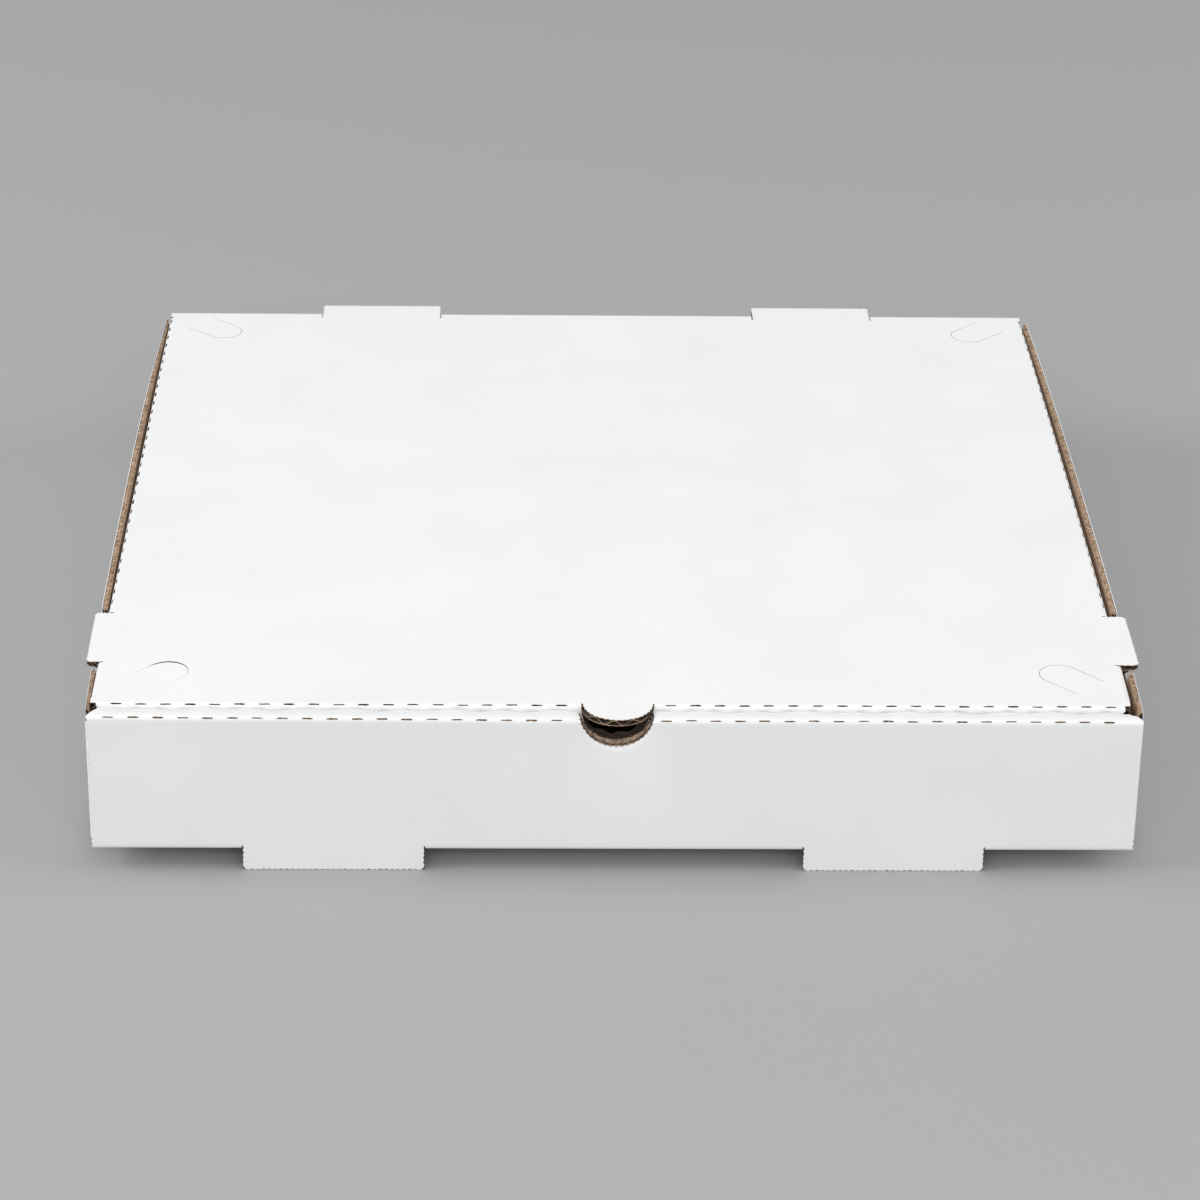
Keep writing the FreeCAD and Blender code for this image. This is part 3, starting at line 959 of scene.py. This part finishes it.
def floor_spans(x):
    hole = strip_depth + sheet_gap - fold
    if foot_near - foot_slot < abs(x) < foot_far + foot_slot:
        return [(hole, floor_run - hole)]
    return [(panel_inset, floor_run - panel_inset)]


def side_wall_spans(h):
    if h > side_top - recess_depth:
        return [(side_front, ear_front - recess_play), (ear_back + recess_play, side_back)]
    return [(side_front, side_back)]


def halves(w0, w1, edges):
    """Cuts a stretch at the places where its spans jump."""
    cuts = sorted({w0, w1, *(e for e in edges if w0 < e < w1)})
    return [(a + 0.01, b - 0.01) for a, b in zip(cuts, cuts[1:])]


def pressed_notch(flat):
    """How far the liner is pressed in round the finger notch."""
    away = np.hypot(flat[:, 0], flat[:, 1] + notch_low + notch_radius) - notch_radius
    return notch_dent * np.exp(-(away / 0.9) ** 2)


def torn_notch(loop):
    """The notch with the brown liner torn back at the inner wall."""
    middle, centre = -(fold_two + fold_three + fold_arc) / 2.0, -(notch_high - notch_radius)
    grow = 1.0 + notch_tear / notch_radius
    return [(u * grow, centre + (v - centre) * grow) if v < middle else (u, v) for u, v in loop]


def notch_rim(centre, start, tear, n0=liner):
    """Crushed fluting along half of the notch, sloping down towards the brown liner; its faces take
    number 2, the torn fluting's colour, which is partly painted light.
    """
    turns = [start + math.pi * (k + 0.5) / 61.0 for k in range(61)]
    layers = []
    for inset in (0.15, 0.6):
        row = []
        for n, extra in ((n0, 0.0), (board / 2.0, tear * 0.4), (board - liner, tear)):
            radius = notch_radius + inset + extra + rng.uniform(-0.12, 0.12, len(turns))
            got = place_tray(radius * np.cos(turns), centre + radius * np.sin(turns),
                             np.full(len(turns), n))
            row.append(np.stack(got, axis=-1))
        layers.append(np.stack(row, axis=1))
    return slab(*layers, 2)


def build_tray():
    outline, holes, guides, dashes = tray_blank()
    blank = (outline, holes, guides)
    white = [skin(blank, place_tray, 0.0, liner, dashes, pressed_notch)]
    torn = (outline, holes[:-1] + [torn_notch(holes[-1])], guides)
    brown = [skin(torn, place_tray, board - liner, board)]
    side = side_blank()
    for sign in (1, -1):
        white.append(skin(side, place_side(sign), 0.0, liner, rim=0))
        brown.append(skin(side, place_side(sign), board - liner, board))
    jumps = [s * e for s in (1, -1) for e in (
        foot_near, foot_far, notch_clear, lug_near - sheet_gap, lug_far + sheet_gap)]
    waves = []
    for spans, half in ((outer_wall_spans, front_half - wall_inset),
                        (inner_wall_spans, inner_end - wall_inset),
                        (strip_spans, inner_end - end_inset), (back_wall_spans, back_end - end_inset),
                        (floor_spans, floor_half - 0.2)):
        for w0, w1 in halves(-half, half, jumps):
            waves += flutes(place_tray, w0, w1, spans)
    for sign in (1, -1):
        for w0, w1 in halves(fold_arc, side_top - end_inset, [side_top - recess_depth]):
            waves += flutes(place_side(sign), w0, w1, side_wall_spans, swap=True, steps=24)
        for y0, y1 in side_wall_spans(side_top):
            waves.append(band(place_side(sign), spaced(y0 + 0.2, y1 - 0.2, 8.0),
                              [side_top - 0.7, side_top - 0.25], liner, board - liner, 1))
    for start in (fold_two, fold_three):
        for sign in (1, -1):
            across = [sign * u for u in spaced(notch_radius + 0.5, inner_end - 1.0, 4.0)][::sign]
            along = [-(start - 0.8 + (fold_arc + 1.6) * k / 8.0) for k in range(9)]
            waves.append(band(place_tray, across, along, 0.95, 1.15, 1))
    waves.append(notch_rim(-(notch_low + notch_radius), 0.0, 0.0, liner + notch_dent + 0.05))
    waves.append(notch_rim(-(notch_high - notch_radius), math.pi, notch_tear))
    # The painted shade colours the white liner's inner face, the brown liner's inner face and the
    # fluting.
    whole = mesh_object("tray_white_liner", white, (WHITE, PAINTED_SHADE, EDGE), "tray")
    mesh_object("tray_kraft_liner", brown, (PAINTED_SHADE, KRAFT, EDGE), "tray")
    # The notch's rim takes the torn fluting's colour, partly painted light.
    mesh_object("tray_fluting", waves, (PAINTED_SHADE, EDGE, TORN_AND_LIT_FLUTING), "tray")
    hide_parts("tray")


# Lid

def lid_spans(x):
    low, high = lid_front + fold, hinge_front
    if abs(x) < tab_radius:
        low = tab_centre - chord(tab_radius, x)
    if lug_near < abs(x) < lug_far:
        high = lug_tip
    if abs(x) > lid_half - fold:
        return [(ear_front, ear_back)]
    return [(low, high)]


def front_flap_spans(x):
    low, high = lid_front + fold - fold_arc, lid_front + fold - flap_run
    if abs(x) < tab_radius + slot:
        low = tab_centre - chord(tab_radius + slot, x)
    if abs(x) > front_flap_half - flap_taper:
        share = (abs(x) - front_flap_half + flap_taper) / flap_taper
        high = high + share * (low - high)
    return [(low, high)] if low > high + 1.0 else []


def side_flap_spans(sign):
    def spans(w):
        if abs(w) < ear_out + slot:
            return [(flap_front, ear_front - slot), (ear_back + slot, flap_back)]
        left = lid_half - fold + flap_run - abs(w)
        trim = flap_round - chord(flap_round, max(flap_round - left, 0.0))
        return [(flap_front + trim, flap_back - trim)]
    return spans


def by_tongue(x, y):
    """Whether a place on the lid is beside the slit of a tongue; the slit's rim there is painted as
    dark shade.
    """
    reach = tongue_radius + 1.0
    near_x = abs(abs(x) - lid_half + tongue_side) < reach + tongue_length
    return near_x and min(abs(y - lid_front - tongue_front), abs(y - back + tongue_back)) < reach


def build_lid():
    outline, holes, guides, dashes = lid_blank()
    blank = (outline, holes, guides)
    white = [skin(blank, place_lid, 0.0, liner, dashes, slits=by_tongue)]
    brown = [skin(blank, place_lid, board - liner, board)]
    waves = []
    edges = [s * e for s in (1, -1) for e in (lug_near, lug_far, tab_radius, lid_half - fold)]
    for w0, w1 in halves(-ear_out + end_inset, ear_out - end_inset, edges):
        waves += flutes(place_lid, w0, w1, lid_spans)
    end = front_flap_half - panel_inset
    for w0, w1 in halves(-end, end, [tab_radius, -tab_radius]):
        waves += flutes(place_lid, w0, w1, front_flap_spans)
    for sign in (1, -1):
        low, high = lid_half - fold + fold_arc, lid_half - fold + flap_run - end_inset
        for w0, w1 in halves(*sorted((sign * low, sign * high)), [sign * (ear_out + slot)]):
            waves += flutes(place_lid, w0, w1, side_flap_spans(sign), steps=24)
    # The painted shade colours both liners' inner faces, the fluting and the rims of the tongue slits.
    whole = mesh_object("lid_white_liner", white, (WHITE, PAINTED_SHADE, EDGE), "lid")
    mesh_object("lid_kraft_liner", brown, (PAINTED_SHADE, KRAFT, EDGE), "lid")
    mesh_object("lid_fluting", waves, (PAINTED_SHADE, EDGE), "lid")
    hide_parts("lid")


def build_hinge():
    """The sheet between the back wall and the lid, in three stretches beside the lugs' holes."""
    outer, inner = [], []
    along = [(2.0 * hinge_run + fold_arc) * k / 20.0 for k in range(21)]
    for x0, x1 in ((-lid_half, -lug_far - sheet_gap), (-lug_near + sheet_gap, lug_near - sheet_gap),
                   (lug_far + sheet_gap, lid_half)):
        across = spaced(x0, x1, 6.0)
        outer.append(band(place_hinge, across, along, 0.0, liner))
        inner.append(band(place_hinge, across, along, board - liner, board))
        for depth in (0.75, 1.2, 1.65):
            inner.append(band(place_hinge, across, along, depth - 0.1, depth + 0.1))
    for name, parts, materials, slot_name in (
            ("hinge_white_liner", outer, (WHITE, EDGE), "white_board"),
            ("hinge_kraft_liner", inner, (KRAFT, EDGE), "kraft_board")):
        piece = mesh_object(name, parts, materials)
        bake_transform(piece)


# Stage, light and camera

def stage():
    mesh = bpy.data.meshes.new("floor")
    side = 12.0
    mesh.from_pydata([(-side, -side, 0), (side, -side, 0), (side, side, 0), (-side, side, 0)], [],
                     [(0, 1, 2, 3)])
    floor = bpy.data.objects.new("floor", mesh)
    bpy.context.scene.collection.objects.link(floor)
    mesh.materials.append(plain("floor_grey", (0.405, 0.405, 0.41), 0.6))


def area(name, place, width, height, power):
    """Lamp that points at the origin."""
    light = bpy.data.lights.new(name, "AREA")
    light.shape = "RECTANGLE"
    light.size, light.size_y = width, height
    light.energy = power
    obj = bpy.data.objects.new(name, light)
    bpy.context.scene.collection.objects.link(obj)
    obj.location = place
    obj.rotation_euler = (-Vector(place)).to_track_quat("-Z", "Y").to_euler()


def lights():
    world = bpy.data.worlds.new("studio")
    bpy.context.scene.world = world
    world.use_nodes = True
    world.node_tree.nodes["Background"].inputs["Color"].default_value = (1.0, 1.0, 1.0, 1.0)
    world.node_tree.nodes["Background"].inputs["Strength"].default_value = 0.6
    area("left", (-2.1, -0.3, 1.3), 1.4, 1.0, 24.5)
    area("right", (2.1, -0.3, 1.3), 1.4, 1.0, 14.8)
    area("front", (0.0, -2.2, 1.3), 2.4, 0.8, 20.0)


def camera():
    focal_px, frame_px = 4012.3, 1200.0
    yaw, pitch, roll = (math.radians(a) for a in (1.532, 26.294, 0.913))
    place = Vector((-38.0, front - 1190.7, 691.8)) * MM
    ahead = Vector((math.sin(yaw) * math.cos(pitch), math.cos(yaw) * math.cos(pitch), -math.sin(pitch)))
    right = Vector((math.cos(yaw), -math.sin(yaw), 0.0))
    up = right.cross(ahead)
    rolled_right = right * math.cos(roll) + up * math.sin(roll)
    rolled_up = -right * math.sin(roll) + up * math.cos(roll)
    data = bpy.data.cameras.new("camera")
    data.sensor_fit = "HORIZONTAL"
    data.sensor_width = 36.0
    data.lens = focal_px / frame_px * data.sensor_width
    data.clip_start = 0.01
    obj = bpy.data.objects.new("camera", data)
    bpy.context.scene.collection.objects.link(obj)
    turn = Matrix((rolled_right, rolled_up, -ahead)).transposed()
    obj.matrix_world = Matrix.Translation(place) @ turn.to_4x4()
    bpy.context.scene.camera = obj


build_tray()
build_lid()
build_hinge()
stage()
lights()
camera()
bpy.context.scene.view_settings.view_transform = "Standard"
